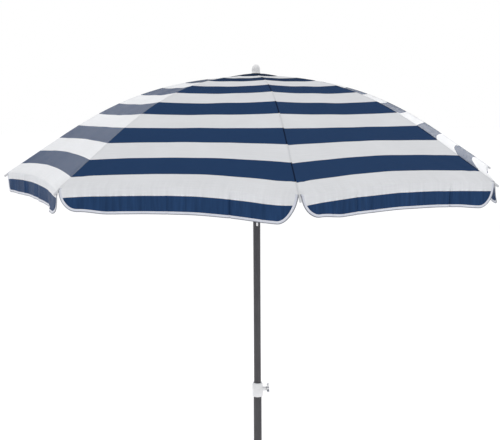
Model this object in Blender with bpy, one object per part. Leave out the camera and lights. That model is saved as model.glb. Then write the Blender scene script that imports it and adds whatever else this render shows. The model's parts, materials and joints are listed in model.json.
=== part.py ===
"""Beach umbrella with a two-part pole, eight folding ribs and a striped canopy.

Metres, +Z up.  The origin is the point of the pole's foot, on the pole's axis.
Rib 1 points along -Y and the others follow every 45 degrees, seen from above
turning towards +X.  The umbrella stands open.
"""
import math

import bmesh
import bpy
from mathutils import Matrix, Vector

# ---------------------------------------------------------------- dimensions
RIB_COUNT = 8
OPEN_RADIUS = 0.920            # pole axis to the end of a rib, umbrella open
TIP_HEIGHT = 1.620             # height of the rib ends above the foot
CLEARANCE = 0.0003             # smallest gap between two touching pieces

# Poles
UPPER_POLE_RADIUS = 0.014
LOWER_POLE_RADIUS = 0.016
POLE_WALL = 0.0012
UPPER_POLE_FOOT = 0.420        # height of the upper pole's lower end
LOWER_POLE_FOOT = 0.110
LOWER_POLE_TOP = 0.755
SAND_POINT_PLUG = 0.045        # length of the sand point inside the lower pole

# Push button in the upper pole
BUTTON_DROP = 0.209            # below the rib ends
BUTTON_WIDTH = 0.0078
BUTTON_LENGTH = 0.0158
BUTTON_DEPTH = 0.0050

# Clamp between the two poles
CLAMP_FOOT = 0.715
CLAMP_TOP = 0.770
CLAMP_RADIUS = 0.0215
CLAMP_BOSS_REACH = 0.034       # pole axis to the outer face of the screw's boss
SCREW_HEIGHT = 0.742
SCREW_RADIUS = 0.003
BOSS_RADIUS = 0.0085

# Rib curve: the slope below the horizontal grows from the crown outwards
RIB_SLOPE_AT_CROWN = math.radians(4.0)
RIB_SLOPE_AT_TIP = math.radians(33.3)
RIB_BEND_SHARE = 0.82          # the rest of the rib's length is straight
RIB_RADIUS = 0.0025
BLADE_HALF_THICKNESS = 0.0013  # flattened ends of ribs and stretchers
BLADE_HALF_HEIGHT = 0.0035

# Hinges: ribs on the crown, stretchers on the runner, both on a ring of wire
PIVOT_RADIUS = 0.024
WIRE_RADIUS = 0.0009
EYE_RADIUS = 0.0014
SLOT_WIDTH = 0.0036
SLOT_FLOOR = PIVOT_RADIUS - BLADE_HALF_HEIGHT - 0.0008
HUB_RADIUS = 0.029
HUB_HALF_HEIGHT = 0.0055
HUB_SEGMENTS = 32
RUNNER_BORE = 0.0148
RUNNER_SLEEVE = 0.075

# Stretcher joint on the rib
JOINT_AT = 0.500               # distance from the crown's hinge along the rib
JOINT_DROP = 0.0095            # rivet below the rib's axis
RIVET_RADIUS = 0.0015
STRETCHER_RADIUS = 0.0026
BRACKET_LENGTH = 0.018
BRACKET_WALL = 0.0014

# Distances along the rib where its polygon, and the cloth's, may bend
BEND_START = 0.060
BEND_PAUSE = 0.012             # straight on each side of the stretcher's joint
BENDS_INSIDE = 4
BENDS_OUTSIDE = 5
ROD_SIDES = 6

# Rib tips
TIP_REACH = 0.022              # beyond the canopy's corner
TIP_RADIUS = 0.0040
TIP_SOCKET = 0.0085

# Canopy
CANOPY_LIFT = 0.0037           # middle of the cloth above the rib's axis
CANOPY_CROWN_LIFT = 0.0060     # and more than that over the crown
CANOPY_THICKNESS = 0.0012
CANOPY_BORE = 0.0160           # radius of the hole that the pole passes
CANOPY_BORE_EASE = 0.15        # the hole's edge stays this much rounder between two ribs
CANOPY_FADE = 0.080            # the crown's extra lift fades over this distance
VALANCE_DROP = 0.076
NOTCH = 0.035                  # share of a half panel that is cut away at a tip
VALANCE_CORNER = 0.78          # the valance is a little shorter at its corners
VALANCE_LEAN = 0.002           # and its lower edge hangs a little outwards
HEM_BOW = 0.017                # how far the hem rises halfway between two tips
PANEL_SAG = 0.28               # share of that which the panels sag higher up
PANEL_GAP = 0.0002             # half the gap between two ribs' cloths

# Finial
FINIAL_RADIUS = 0.0165
FINIAL_FLANGE = 0.0178
FINIAL_SHOULDER = 0.016        # height at which the dome starts
FINIAL_HEIGHT = 0.034
FINIAL_SOCKET = 0.012

# ---------------------------------------------------------------- rib curve
RIB_STEPS = 240
HALF_PANEL = math.pi / RIB_COUNT


def smoothstep(x):
    x = min(max(x, 0.0), 1.0)
    return x * x * (3.0 - 2.0 * x)


def rib_slope(share):
    """Slope of the rib, in radians below the horizontal, at a share of its length."""
    bend = smoothstep(share / RIB_BEND_SHARE)
    return RIB_SLOPE_AT_CROWN + (RIB_SLOPE_AT_TIP - RIB_SLOPE_AT_CROWN) * bend


def unit_rib():
    """The rib's curve for a length of one: a list of (outward, downward)."""
    out, down = 0.0, 0.0
    curve = [(out, down)]
    for i in range(RIB_STEPS):
        slope = rib_slope((i + 0.5) / RIB_STEPS)
        out += math.cos(slope) / RIB_STEPS
        down += math.sin(slope) / RIB_STEPS
        curve.append((out, down))
    return curve


UNIT_RIB = unit_rib()
RIB_LENGTH = (OPEN_RADIUS - PIVOT_RADIUS) / UNIT_RIB[-1][0]
CROWN_HEIGHT = TIP_HEIGHT + RIB_LENGTH * UNIT_RIB[-1][1]


def rib_point(distance):
    """(outward, up) from the crown's hinge at a distance along the rib's axis."""
    place = distance / RIB_LENGTH * RIB_STEPS
    i = min(max(int(place), 0), RIB_STEPS - 1)
    part = place - i
    a, b = UNIT_RIB[i], UNIT_RIB[i + 1]
    out = a[0] + (b[0] - a[0]) * part
    down = a[1] + (b[1] - a[1]) * part
    return out * RIB_LENGTH, -down * RIB_LENGTH


def rib_frame(distance):
    """Point, tangent and normal of the rib in its own plane, as (y, z) with -Y outward."""
    out, up = rib_point(distance)
    slope = rib_slope(distance / RIB_LENGTH)
    tangent = (-math.cos(slope), -math.sin(slope))
    normal = (-math.sin(slope), math.cos(slope))
    return (-out, up), tangent, normal


def bend_stations():
    """The distances along the rib that the rod and the cloth share."""
    inside = (JOINT_AT - BEND_PAUSE - BEND_START) / BENDS_INSIDE
    outside = (RIB_LENGTH - JOINT_AT - BEND_PAUSE) / BENDS_OUTSIDE
    stations = [BEND_START + inside * i for i in range(BENDS_INSIDE + 1)]
    return stations + [JOINT_AT + BEND_PAUSE + outside * i for i in range(BENDS_OUTSIDE + 1)]


# Stretcher joint, seen from the crown's hinge: outward and up
RIB_AT_JOINT, _, NORMAL_AT_JOINT = rib_frame(JOINT_AT)
JOINT_OUT = -(RIB_AT_JOINT[0] - NORMAL_AT_JOINT[0] * JOINT_DROP)
JOINT_UP = RIB_AT_JOINT[1] - NORMAL_AT_JOINT[1] * JOINT_DROP
# The stretcher is as long as the joint is far from the crown's hinge, so the
# runner stays on the pole at every angle: it hangs twice the joint's drop below.
STRETCHER_LENGTH = math.hypot(JOINT_OUT, JOINT_UP)
RUNNER_HEIGHT = CROWN_HEIGHT + 2.0 * JOINT_UP
FINIAL_SEAT = CROWN_HEIGHT + CANOPY_LIFT + CANOPY_CROWN_LIFT + CANOPY_THICKNESS


# ---------------------------------------------------------------- scene helpers
def clear_scene():
    for obj in list(bpy.data.objects):
        bpy.data.objects.remove(obj, do_unlink=True)


def material(name, colour, roughness, metallic=0.0):
    mat = bpy.data.materials.new(name)
    mat.use_nodes = True
    shader = mat.node_tree.nodes["Principled BSDF"]
    shader.inputs["Base Color"].default_value = (*colour, 1.0)
    shader.inputs["Roughness"].default_value = roughness
    shader.inputs["Metallic"].default_value = metallic
    return mat


def add_empty(name, location, turn=0.0, parent=None):
    obj = bpy.data.objects.new(name, None)
    obj.empty_display_size = 0.02
    obj.location = location
    obj.rotation_euler = (0.0, 0.0, turn)
    obj.parent = parent
    bpy.context.collection.objects.link(obj)
    return obj


def add_object(name, mesh, location=(0.0, 0.0, 0.0), parent=None):
    obj = bpy.data.objects.new(name, mesh)
    obj.location = location
    obj.parent = parent
    bpy.context.collection.objects.link(obj)
    return obj


def finish_mesh(bm, name, mat):
    """Turn a closed bmesh into a mesh with outward faces and smooth round sides."""
    bmesh.ops.remove_doubles(bm, verts=bm.verts, dist=1e-6)
    bmesh.ops.recalc_face_normals(bm, faces=bm.faces)
    mesh = bpy.data.meshes.new(name)
    bm.to_mesh(mesh)
    bm.free()
    mesh.materials.append(mat)
    mesh.shade_smooth()
    mesh.set_sharp_from_angle(angle=math.radians(35.0))
    return mesh


def boolean(mesh, others, operation="DIFFERENCE"):
    """The mesh after a Boolean with each of the other meshes, in the same frame."""
    base = add_object("base", mesh)
    helpers = []
    for other in others:
        helper = add_object("cutter", other)
        helper.hide_render = True
        helper.display_type = "WIRE"
        modifier = base.modifiers.new("cut", "BOOLEAN")
        modifier.operation = operation
        modifier.solver = "EXACT"
        modifier.object = helper
        helpers.append(helper)
    graph = bpy.context.evaluated_depsgraph_get()
    result = bpy.data.meshes.new_from_object(base.evaluated_get(graph))
    result.name = mesh.name
    for obj in [base, *helpers]:
        bpy.data.objects.remove(obj, do_unlink=True)
    return result


# ---------------------------------------------------------------- shape helpers
def turned(name, profile, mat, segments=24, axis_matrix=None):
    """Turn a profile of (radius, height) about Z.  Radius 0 marks a point on the axis.

    A profile whose first and last points aren't on the axis is closed into a ring.
    """
    bm = bmesh.new()
    rings = []
    for radius, height in profile:
        if radius == 0.0:
            rings.append([bm.verts.new((0.0, 0.0, height))])
            continue
        ring = []
        for i in range(segments):
            angle = 2.0 * math.pi * i / segments
            ring.append(bm.verts.new((radius * math.sin(angle), -radius * math.cos(angle), height)))
        rings.append(ring)
    pairs = list(zip(rings, rings[1:]))
    if len(rings[0]) > 1 and len(rings[-1]) > 1:
        pairs.append((rings[-1], rings[0]))
    for low, high in pairs:
        for i in range(segments):
            j = (i + 1) % segments
            corners = [low[i % len(low)], low[j % len(low)], high[j % len(high)], high[i % len(high)]]
            face = list(dict.fromkeys(corners))
            if len(face) > 2:
                bm.faces.new(face)
    if axis_matrix is not None:
        bmesh.ops.transform(bm, matrix=axis_matrix, verts=bm.verts)
    return finish_mesh(bm, name, mat)


def lofted(name, sections, mat):
    """A rod through sections of (point, normal, half width, half height).

    Points and normals lie in the YZ plane; the width runs along X, from corner
    to corner, and the height from flat to flat.
    """
    bm = bmesh.new()
    rings = []
    for point, normal, half_width, half_height in sections:
        ring = []
        for i in range(ROD_SIDES):
            angle = 2.0 * math.pi * i / ROD_SIDES
            x = half_width * math.cos(angle)
            h = half_height * math.sin(angle) / math.cos(math.pi / ROD_SIDES)
            ring.append(bm.verts.new((x, point[0] + normal[0] * h, point[1] + normal[1] * h)))
        rings.append(ring)
    for low, high in zip(rings, rings[1:]):
        for i in range(ROD_SIDES):
            j = (i + 1) % ROD_SIDES
            bm.faces.new((low[i], low[j], high[j], high[i]))
    bm.faces.new(rings[0])
    bm.faces.new(rings[-1])
    return finish_mesh(bm, name, mat)


def cylinder_x(radius, half_length, y, z, mat, segments=8):
    """A cylinder along X, for rivets and for the holes that they pass."""
    turn = Matrix.Translation((0.0, y, z)) @ Matrix.Rotation(math.pi / 2.0, 4, "Y")
    profile = [(0.0, -half_length), (radius, -half_length), (radius, half_length), (0.0, half_length)]
    return turned("pin", profile, mat, segments, turn)


def box(name, low, high, mat):
    bm = bmesh.new()
    bmesh.ops.create_cube(bm, size=1.0)
    size = Vector(high) - Vector(low)
    middle = (Vector(high) + Vector(low)) / 2.0
    matrix = Matrix.Translation(middle) @ Matrix.Diagonal((*size, 1.0))
    bmesh.ops.transform(bm, matrix=matrix, verts=bm.verts)
    return finish_mesh(bm, name, mat)


def extruded(name, outline, half_width, mat, matrix=None):
    """Extrude an outline of (y, z) along X, half_width to each side."""
    bm = bmesh.new()
    verts = [bm.verts.new((-half_width, y, z)) for y, z in outline]
    face = bm.faces.new(verts)
    result = bmesh.ops.extrude_face_region(bm, geom=[face])
    moved = [v for v in result["geom"] if isinstance(v, bmesh.types.BMVert)]
    bmesh.ops.translate(bm, verts=moved, vec=(2.0 * half_width, 0.0, 0.0))
    if matrix is not None:
        bmesh.ops.transform(bm, matrix=matrix, verts=bm.verts)
    return finish_mesh(bm, name, mat)


def stadium(width, length, steps=6):
    """Outline of a slot with round ends, as (across, along), standing on end."""
    radius = width / 2.0
    reach = length / 2.0 - radius
    points = []
    for side in (1.0, -1.0):
        for i in range(steps + 1):
            angle = math.pi * i / steps
            points.append((side * radius * math.cos(angle), side * (reach + radius * math.sin(angle))))
    return points


def star_slots(name, mat, inner, low, high):
    """Radial bars that cut one slot for each rib."""
    bars = []
    for k in range(RIB_COUNT):
        outline_low = (-SLOT_WIDTH / 2.0, -HUB_RADIUS * 1.3, low)
        outline_high = (SLOT_WIDTH / 2.0, -inner, high)
        bar = box(name, outline_low, outline_high, mat)
        bar.transform(Matrix.Rotation(2.0 * HALF_PANEL * k, 4, "Z"))
        bars.append(bar)
    return bars


# ---------------------------------------------------------------- poles
def rod_profile(radius, low, high):
    return [(0.0, low), (radius, low), (radius, high), (0.0, high)]


def tube_profile(radius, low, high):
    return [(radius, low), (radius, high), (radius - POLE_WALL, high), (radius - POLE_WALL, low)]


def build_lower_pole(steel, plastic, chrome):
    tube = turned("lower_pole", tube_profile(LOWER_POLE_RADIUS, LOWER_POLE_FOOT, LOWER_POLE_TOP), steel)
    hole = cylinder_x(SCREW_RADIUS + 0.0006, 0.010, 0.0, SCREW_HEIGHT, steel, 12)
    hole.transform(Matrix.Translation((LOWER_POLE_RADIUS, 0.0, 0.0)))
    add_object("lower_pole", boolean(tube, [hole]))

    bore = LOWER_POLE_RADIUS - POLE_WALL - CLEARANCE
    shoulder = LOWER_POLE_FOOT - CLEARANCE
    profile = [
        (0.0, 0.0), (0.0022, 0.0015), (0.0105, 0.060), (0.0150, 0.094),
        (LOWER_POLE_RADIUS, 0.098), (LOWER_POLE_RADIUS, shoulder), (bore, shoulder),
        (bore, shoulder + SAND_POINT_PLUG), (0.0, shoulder + SAND_POINT_PLUG),
    ]
    add_object("sand_point", turned("sand_point", profile, plastic, 24))

    add_object("clamp_collar", clamp_collar(plastic))
    pivot = add_empty("clamp_screw_axis", (0.0, 0.0, SCREW_HEIGHT))
    add_object("clamp_screw", clamp_screw(chrome), parent=pivot)


def clamp_collar(mat):
    """A ring round the top of the lower pole that narrows to the upper pole."""
    around_lower = LOWER_POLE_RADIUS + CLEARANCE
    around_upper = UPPER_POLE_RADIUS + 0.0008
    ledge = LOWER_POLE_TOP + CLEARANCE
    profile = [
        (around_lower, CLAMP_FOOT), (CLAMP_RADIUS, CLAMP_FOOT), (CLAMP_RADIUS, CLAMP_TOP - 0.008),
        (around_upper + 0.003, CLAMP_TOP), (around_upper, CLAMP_TOP),
        (around_upper, ledge), (around_lower, ledge),
    ]
    ring = turned("clamp_collar", profile, mat, 24)
    along_x = Matrix.Translation((0.0, 0.0, SCREW_HEIGHT)) @ Matrix.Rotation(math.pi / 2.0, 4, "Y")
    inner = LOWER_POLE_RADIUS + 0.003
    boss = turned("boss", rod_profile(BOSS_RADIUS, inner, CLAMP_BOSS_REACH), mat, 12, along_x)
    whole = boolean(ring, [boss], "UNION")
    bore = turned("bore", rod_profile(SCREW_RADIUS + 0.0004, 0.010, 0.040), mat, 12, along_x)
    return boolean(whole, [bore])


def clamp_screw(mat):
    """Thumb screw along X: a shank that ends at the upper pole and a three-winged knob."""
    tip = UPPER_POLE_RADIUS + 0.0004
    knob = CLAMP_BOSS_REACH + 0.0008
    profile = [
        (0.0, tip), (SCREW_RADIUS - 0.0006, tip), (SCREW_RADIUS, tip + 0.0008), (SCREW_RADIUS, knob),
        (BOSS_RADIUS, knob), (BOSS_RADIUS, knob + 0.004), (0.0070, knob + 0.012), (0.0, knob + 0.012),
    ]
    along_x = Matrix.Rotation(math.pi / 2.0, 4, "Y")
    shank = turned("clamp_screw", profile, mat, 12, along_x)
    outline = [(-0.0022, 0.004), (0.0022, 0.004), (0.0028, 0.018), (0.0, 0.0205), (-0.0028, 0.018)]
    onto_knob = Matrix.Translation((knob + 0.0065, 0.0, 0.0))
    wings = []
    for i in range(3):
        wing = extruded("wing", outline, 0.0045, mat)
        wing.transform(Matrix.Rotation(2.0 * math.pi * i / 3.0, 4, "X") @ onto_knob)
        wings.append(wing)
    return boolean(shank, wings, "UNION")


def build_upper_pole(steel, chrome):
    top = FINIAL_SEAT + FINIAL_SOCKET - 0.001
    tube = turned("upper_pole", tube_profile(UPPER_POLE_RADIUS, UPPER_POLE_FOOT, top), steel)
    height = TIP_HEIGHT - BUTTON_DROP
    gap = 2.0 * CLEARANCE
    slot = button_block("slot", BUTTON_WIDTH + gap, BUTTON_LENGTH + gap, 0.004, 0.020, steel)
    slot.transform(Matrix.Translation((0.0, 0.0, height)))
    add_object("upper_pole", boolean(tube, [slot]))

    face = UPPER_POLE_RADIUS - 0.0002
    button = button_block("pole_button", BUTTON_WIDTH, BUTTON_LENGTH, face - BUTTON_DEPTH, face, chrome)
    pivot = add_empty("pole_button_axis", (0.0, 0.0, height))
    add_object("pole_button", button, parent=pivot)


def button_block(name, width, length, inner, outer, mat):
    """A block with round ends that faces -Y, between two distances from the axis."""
    outline = stadium(width, length)
    matrix = Matrix.Translation((0.0, -(inner + outer) / 2.0, 0.0)) @ Matrix.Rotation(math.pi / 2.0, 4, "Z")
    return extruded(name, outline, (outer - inner) / 2.0, mat, matrix)


# ---------------------------------------------------------------- crown and finial
def build_crown(plastic, wire_steel, finial_plastic):
    low, high = -HUB_HALF_HEIGHT, HUB_HALF_HEIGHT
    bore = UPPER_POLE_RADIUS + CLEARANCE
    groove = WIRE_RADIUS + 0.0005
    profile = [
        (bore, low - 0.010), (bore + 0.0025, low - 0.010), (bore + 0.0035, low), (HUB_RADIUS, low),
        (HUB_RADIUS, high), (PIVOT_RADIUS + groove, high), (PIVOT_RADIUS + groove, -groove),
        (PIVOT_RADIUS - groove, -groove), (PIVOT_RADIUS - groove, high), (bore, high),
    ]
    hub = turned("crown_hub", profile, plastic, HUB_SEGMENTS)
    slots = star_slots("slot", plastic, SLOT_FLOOR, low - 0.002, high + 0.002)
    add_object("crown_hub", boolean(hub, slots), (0.0, 0.0, CROWN_HEIGHT))
    add_object("crown_wire", wire_ring("crown_wire", wire_steel), (0.0, 0.0, CROWN_HEIGHT))

    seat = FINIAL_SEAT + CLEARANCE
    socket = UPPER_POLE_RADIUS + CLEARANCE
    dome = [(FINIAL_RADIUS, 0.0045), (FINIAL_RADIUS, FINIAL_SHOULDER)]
    for i in range(1, 5):
        angle = math.pi / 2.0 * i / 5.0
        rise = (FINIAL_HEIGHT - FINIAL_SHOULDER) * math.sin(angle)
        dome.append((FINIAL_RADIUS * math.cos(angle), FINIAL_SHOULDER + rise))
    profile = [(0.0, FINIAL_SOCKET), (socket, FINIAL_SOCKET), (socket, 0.0)]
    profile += [(FINIAL_FLANGE, 0.0), (FINIAL_FLANGE, 0.003)] + dome + [(0.0, FINIAL_HEIGHT)]
    finial = turned("finial", profile, finial_plastic, 24)
    add_object("finial", finial, (0.0, 0.0, seat))


def wire_ring(name, mat, segments=24, sides=6):
    """The ring of wire that the flattened rod ends turn on."""
    bm = bmesh.new()
    rings = []
    for i in range(segments):
        angle = 2.0 * math.pi * i / segments
        ring = []
        for j in range(sides):
            around = 2.0 * math.pi * j / sides
            r = PIVOT_RADIUS + WIRE_RADIUS * math.cos(around)
            height = WIRE_RADIUS * math.sin(around)
            ring.append(bm.verts.new((r * math.sin(angle), -r * math.cos(angle), height)))
        rings.append(ring)
    for i in range(segments):
        a, b = rings[i], rings[(i + 1) % segments]
        for j in range(sides):
            n = (j + 1) % sides
            bm.faces.new((a[j], a[n], b[n], b[j]))
    return finish_mesh(bm, name, mat)


# ---------------------------------------------------------------- runner
def build_runner(plastic, wire_steel):
    """Sleeve that slides on the upper pole, with a slotted ring for the stretchers."""
    low, high = -HUB_HALF_HEIGHT, HUB_HALF_HEIGHT
    groove = WIRE_RADIUS + 0.0005
    foot = low - RUNNER_SLEEVE
    profile = [
        (RUNNER_BORE, foot), (0.0205, foot), (0.0205, foot + 0.006), (0.0180, foot + 0.010),
        (0.0180, low - 0.004), (0.0195, low), (PIVOT_RADIUS - groove, low),
        (PIVOT_RADIUS - groove, groove), (PIVOT_RADIUS + groove, groove),
        (PIVOT_RADIUS + groove, low), (HUB_RADIUS, low), (HUB_RADIUS, high),
        (0.0190, high), (0.0170, high + 0.006), (RUNNER_BORE, high + 0.006),
    ]
    sleeve = turned("runner", profile, plastic, HUB_SEGMENTS)
    slots = star_slots("slot", plastic, SLOT_FLOOR, low - 0.002, high + 0.002)
    pivot = add_empty("runner_pivot", (0.0, -PIVOT_RADIUS, RUNNER_HEIGHT))
    on_axis = (0.0, PIVOT_RADIUS, 0.0)
    add_object("runner", boolean(sleeve, slots), on_axis, pivot)
    add_object("runner_wire", wire_ring("runner_wire", wire_steel), on_axis, pivot)


# ---------------------------------------------------------------- ribs
def rib_mesh(mat):
    """Rod along the rib's curve, flattened to an eye at the crown."""
    blade, high, round_ = BLADE_HALF_THICKNESS, BLADE_HALF_HEIGHT, RIB_RADIUS
    sections = []
    for distance, half_width, half_height in [
        (-0.0034, blade * 0.8, 0.0013), (-0.0024, blade, 0.0026), (0.0, blade, high),
        (0.009, blade, high), (0.024, round_, round_),
    ]:
        point, tangent, normal = rib_frame(max(distance, 0.0))
        back = min(distance, 0.0)
        point = (point[0] + tangent[0] * back, point[1] + tangent[1] * back)
        sections.append((point, normal, half_width, half_height))
    for distance in bend_stations():
        point, _, normal = rib_frame(distance)
        sections.append((point, normal, round_, round_))
    point, tangent, normal = rib_frame(RIB_LENGTH)
    end = TIP_SOCKET - 2.0 * CLEARANCE
    point = (point[0] + tangent[0] * end, point[1] + tangent[1] * end)
    sections.append((point, normal, round_, round_))
    rod = lofted("rib", sections, mat)
    return boolean(rod, [cylinder_x(EYE_RADIUS, 0.004, 0.0, 0.0, mat)])


def bracket_mesh(mat):
    """Riveted clip: an H section that holds the rib above and the stretcher below."""
    inner = RIB_RADIUS + CLEARANCE
    outer = inner + BRACKET_WALL
    half = BRACKET_LENGTH / 2.0
    foot = -JOINT_DROP - 0.0042
    top = 0.0008
    plate = [(-half, top), (-half, -0.006), (-0.0042, foot), (0.0042, foot), (half, -0.006), (half, top)]
    web = box("web", (-inner - 0.0005, -half, -0.0042), (inner + 0.0005, half, -0.0029), mat)
    body = extruded("rib_bracket", plate, outer, mat)
    gap_above = box("gap", (-inner, -half - 0.01, -0.0029), (inner, half + 0.01, 0.02), mat)
    gap_below = box("gap", (-inner, -half - 0.01, foot - 0.01), (inner, half + 0.01, -0.0042), mat)
    body = boolean(body, [gap_above, gap_below])
    rivet = cylinder_x(RIVET_RADIUS, outer + 0.0008, 0.0, -JOINT_DROP, mat)
    body = boolean(body, [web, rivet], "UNION")
    slope = rib_slope(JOINT_AT / RIB_LENGTH)
    body.transform(Matrix.Translation((0.0, *RIB_AT_JOINT)) @ Matrix.Rotation(slope, 4, "X"))
    return body


def tip_mesh(mat):
    """Moulded cap on the rib's end, with a socket for the rod."""
    bore = RIB_RADIUS + 0.0008
    profile = [
        (0.0, TIP_SOCKET), (bore, TIP_SOCKET), (bore, CLEARANCE), (TIP_RADIUS, CLEARANCE),
        (TIP_RADIUS, 0.015), (TIP_RADIUS * 0.6, TIP_REACH - 0.0007), (0.0, TIP_REACH),
    ]
    point, tangent, _ = rib_frame(RIB_LENGTH)
    along_rib = Vector((0.0, *tangent)).to_track_quat("Z", "X").to_matrix().to_4x4()
    return turned("rib_tip", profile, mat, 8, Matrix.Translation((0.0, *point)) @ along_rib)


def stretcher_mesh(mat):
    """Rod from the rib's rivet to the runner's wire, with a flattened eye at each end."""
    direction = Vector((0.0, JOINT_OUT, JOINT_UP)).normalized()
    normal = (-direction.z, direction.y)
    length = STRETCHER_LENGTH
    blade, high, round_ = BLADE_HALF_THICKNESS, BLADE_HALF_HEIGHT, STRETCHER_RADIUS
    sections = []
    for distance, half_width, half_height in [
        (-0.0034, blade, 0.0014), (-0.0024, blade + 0.0003, 0.0027), (0.0, blade + 0.0003, high),
        (0.010, blade + 0.0003, high), (0.026, round_, round_), (length - 0.026, round_, round_),
        (length - 0.010, blade, high), (length, blade, high), (length + 0.0024, blade, 0.0026),
        (length + 0.0034, blade * 0.8, 0.0013),
    ]:
        point = (direction.y * distance, direction.z * distance)
        sections.append((point, normal, half_width, half_height))
    rod = lofted("stretcher", sections, mat)
    upper_eye = cylinder_x(RIVET_RADIUS + 0.0004, 0.004, 0.0, 0.0, mat)
    lower_eye = cylinder_x(EYE_RADIUS, 0.004, direction.y * length, direction.z * length, mat)
    return boolean(rod, [upper_eye, lower_eye])


# ---------------------------------------------------------------- canopy
def canopy_bow(share, across):
    """Rise of the cloth over the straight line between two ribs, 1 being the hem's middle."""
    low_part = smoothstep((share - 0.55) / 0.45)
    sag = PANEL_SAG * math.sin(math.pi * min(share / 0.75, 1.0))
    return HEM_BOW * (low_part - sag) * (1.0 - (1.0 - across) ** 2)


def canopy_point(distance, across, side):
    """A point of the cloth, from the crown's hinge of its rib.

    distance runs along the rib, across from 0 on the rib to 1 halfway to the
    next one, and side is -1 or 1.
    """
    out, up = rib_point(distance)
    slope = rib_slope(distance / RIB_LENGTH)
    near_crown = 1.0 - smoothstep((out - 0.008) / CANOPY_FADE)
    lift = CANOPY_LIFT + CANOPY_CROWN_LIFT * near_crown
    radius = PIVOT_RADIUS + out + math.sin(slope) * lift
    height = up + math.cos(slope) * lift + canopy_bow(distance / RIB_LENGTH, across)
    middle = 0.5 * math.sin(2.0 * HALF_PANEL) * radius
    reach = across * (1.0 - PANEL_GAP / middle)
    inward = radius * (1.0 - 0.5 * (1.0 - math.cos(2.0 * HALF_PANEL)) * reach)
    return Vector((side * middle * reach, PIVOT_RADIUS - inward, height))


def canopy_mesh(mat):
    """The cloth that hangs on one rib, out to the middle of the panels beside it."""
    rows = [CANOPY_BORE - PIVOT_RADIUS, 0.0, 0.030] + bend_stations()
    shares = [NOTCH, 0.5, 1.0]
    columns = [(share, -1.0) for share in reversed(shares)] + [(0.0, 1.0)] + [(share, 1.0) for share in shares]
    bm = bmesh.new()
    grid = []
    for distance in rows:
        line = []
        for across, side in columns:
            point = canopy_point(max(distance, 0.0), across, side)
            if distance < 0.0:
                point.y -= distance * (1.0 - CANOPY_BORE_EASE * across)
                point.x *= (PIVOT_RADIUS + distance) / PIVOT_RADIUS
            line.append(bm.verts.new(point))
        grid.append(line)
    for low, high in zip(grid, grid[1:]):
        for i in range(len(columns) - 1):
            bm.faces.new((low[i], high[i], high[i + 1], low[i + 1]))
    hem = grid[-1]
    drop = []
    for vert, (across, _) in zip(hem, columns):
        length = VALANCE_DROP * (VALANCE_CORNER if across == NOTCH else 1.0)
        drop.append(bm.verts.new(vert.co + Vector((0.0, -VALANCE_LEAN, -length))))
    middle = len(columns) // 2
    for i in range(len(columns) - 1):
        if i not in (middle - 1, middle):
            bm.faces.new((hem[i], drop[i], drop[i + 1], hem[i + 1]))
    bm.verts.remove(drop[middle])
    bmesh.ops.recalc_face_normals(bm, faces=bm.faces)
    mesh = bpy.data.meshes.new("canopy")
    bm.to_mesh(mesh)
    bm.free()
    mesh.materials.append(mat)
    mesh.shade_smooth()
    return mesh


def add_canopy(name, mesh, parent):
    obj = add_object(name, mesh, parent=parent)
    solid = obj.modifiers.new("cloth", "SOLIDIFY")
    solid.thickness = CANOPY_THICKNESS
    solid.offset = 0.0
    solid.use_rim = True
    return obj


def build_ribs(steel, plastic, tip_plastic, cloth):
    rib = rib_mesh(steel)
    bracket = bracket_mesh(plastic)
    tip = tip_mesh(tip_plastic)
    stretcher = stretcher_mesh(steel)
    canopy = canopy_mesh(cloth)
    for k in range(RIB_COUNT):
        number = k + 1
        turn = 2.0 * HALF_PANEL * k
        spot = Vector((PIVOT_RADIUS * math.sin(turn), -PIVOT_RADIUS * math.cos(turn), CROWN_HEIGHT))
        hinge = add_empty(f"rib_hinge_{number}", spot, turn)
        add_object(f"rib_{number}", rib, parent=hinge)
        add_object(f"rib_bracket_{number}", bracket, parent=hinge)
        add_object(f"rib_tip_{number}", tip, parent=hinge)
        add_canopy(f"canopy_{number}", canopy, hinge)
        rivet = add_empty(f"stretcher_hinge_{number}", (0.0, -JOINT_OUT, JOINT_UP), parent=hinge)
        add_object(f"stretcher_{number}", stretcher, parent=rivet)


def main():
    clear_scene()
    pole_steel = material("painted steel", (0.09, 0.09, 0.10), 0.40, 0.3)
    rod_steel = material("rod steel", (0.55, 0.56, 0.58), 0.35, 0.9)
    chrome = material("bright steel", (0.80, 0.80, 0.80), 0.20, 1.0)
    plastic = material("white plastic", (0.80, 0.81, 0.82), 0.45)
    tip_plastic = material("grey plastic", (0.62, 0.63, 0.66), 0.50)
    cloth = material("navy cloth", (0.02, 0.05, 0.13), 0.85)
    build_lower_pole(pole_steel, plastic, chrome)
    build_upper_pole(pole_steel, chrome)
    build_crown(plastic, rod_steel, plastic)
    build_runner(plastic, rod_steel)
    build_ribs(rod_steel, rod_steel, tip_plastic, cloth)


main()
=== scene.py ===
"""Beach umbrella: the visual model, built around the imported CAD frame.

Metres, +Z up, in the frame of the CAD.  Rib 1 points along -Y and the others
follow every 45 degrees, seen from above turning towards +X.
"""

import json
import math

import bmesh
import bpy
import numpy as np
from mathutils import Matrix, Vector


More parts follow.
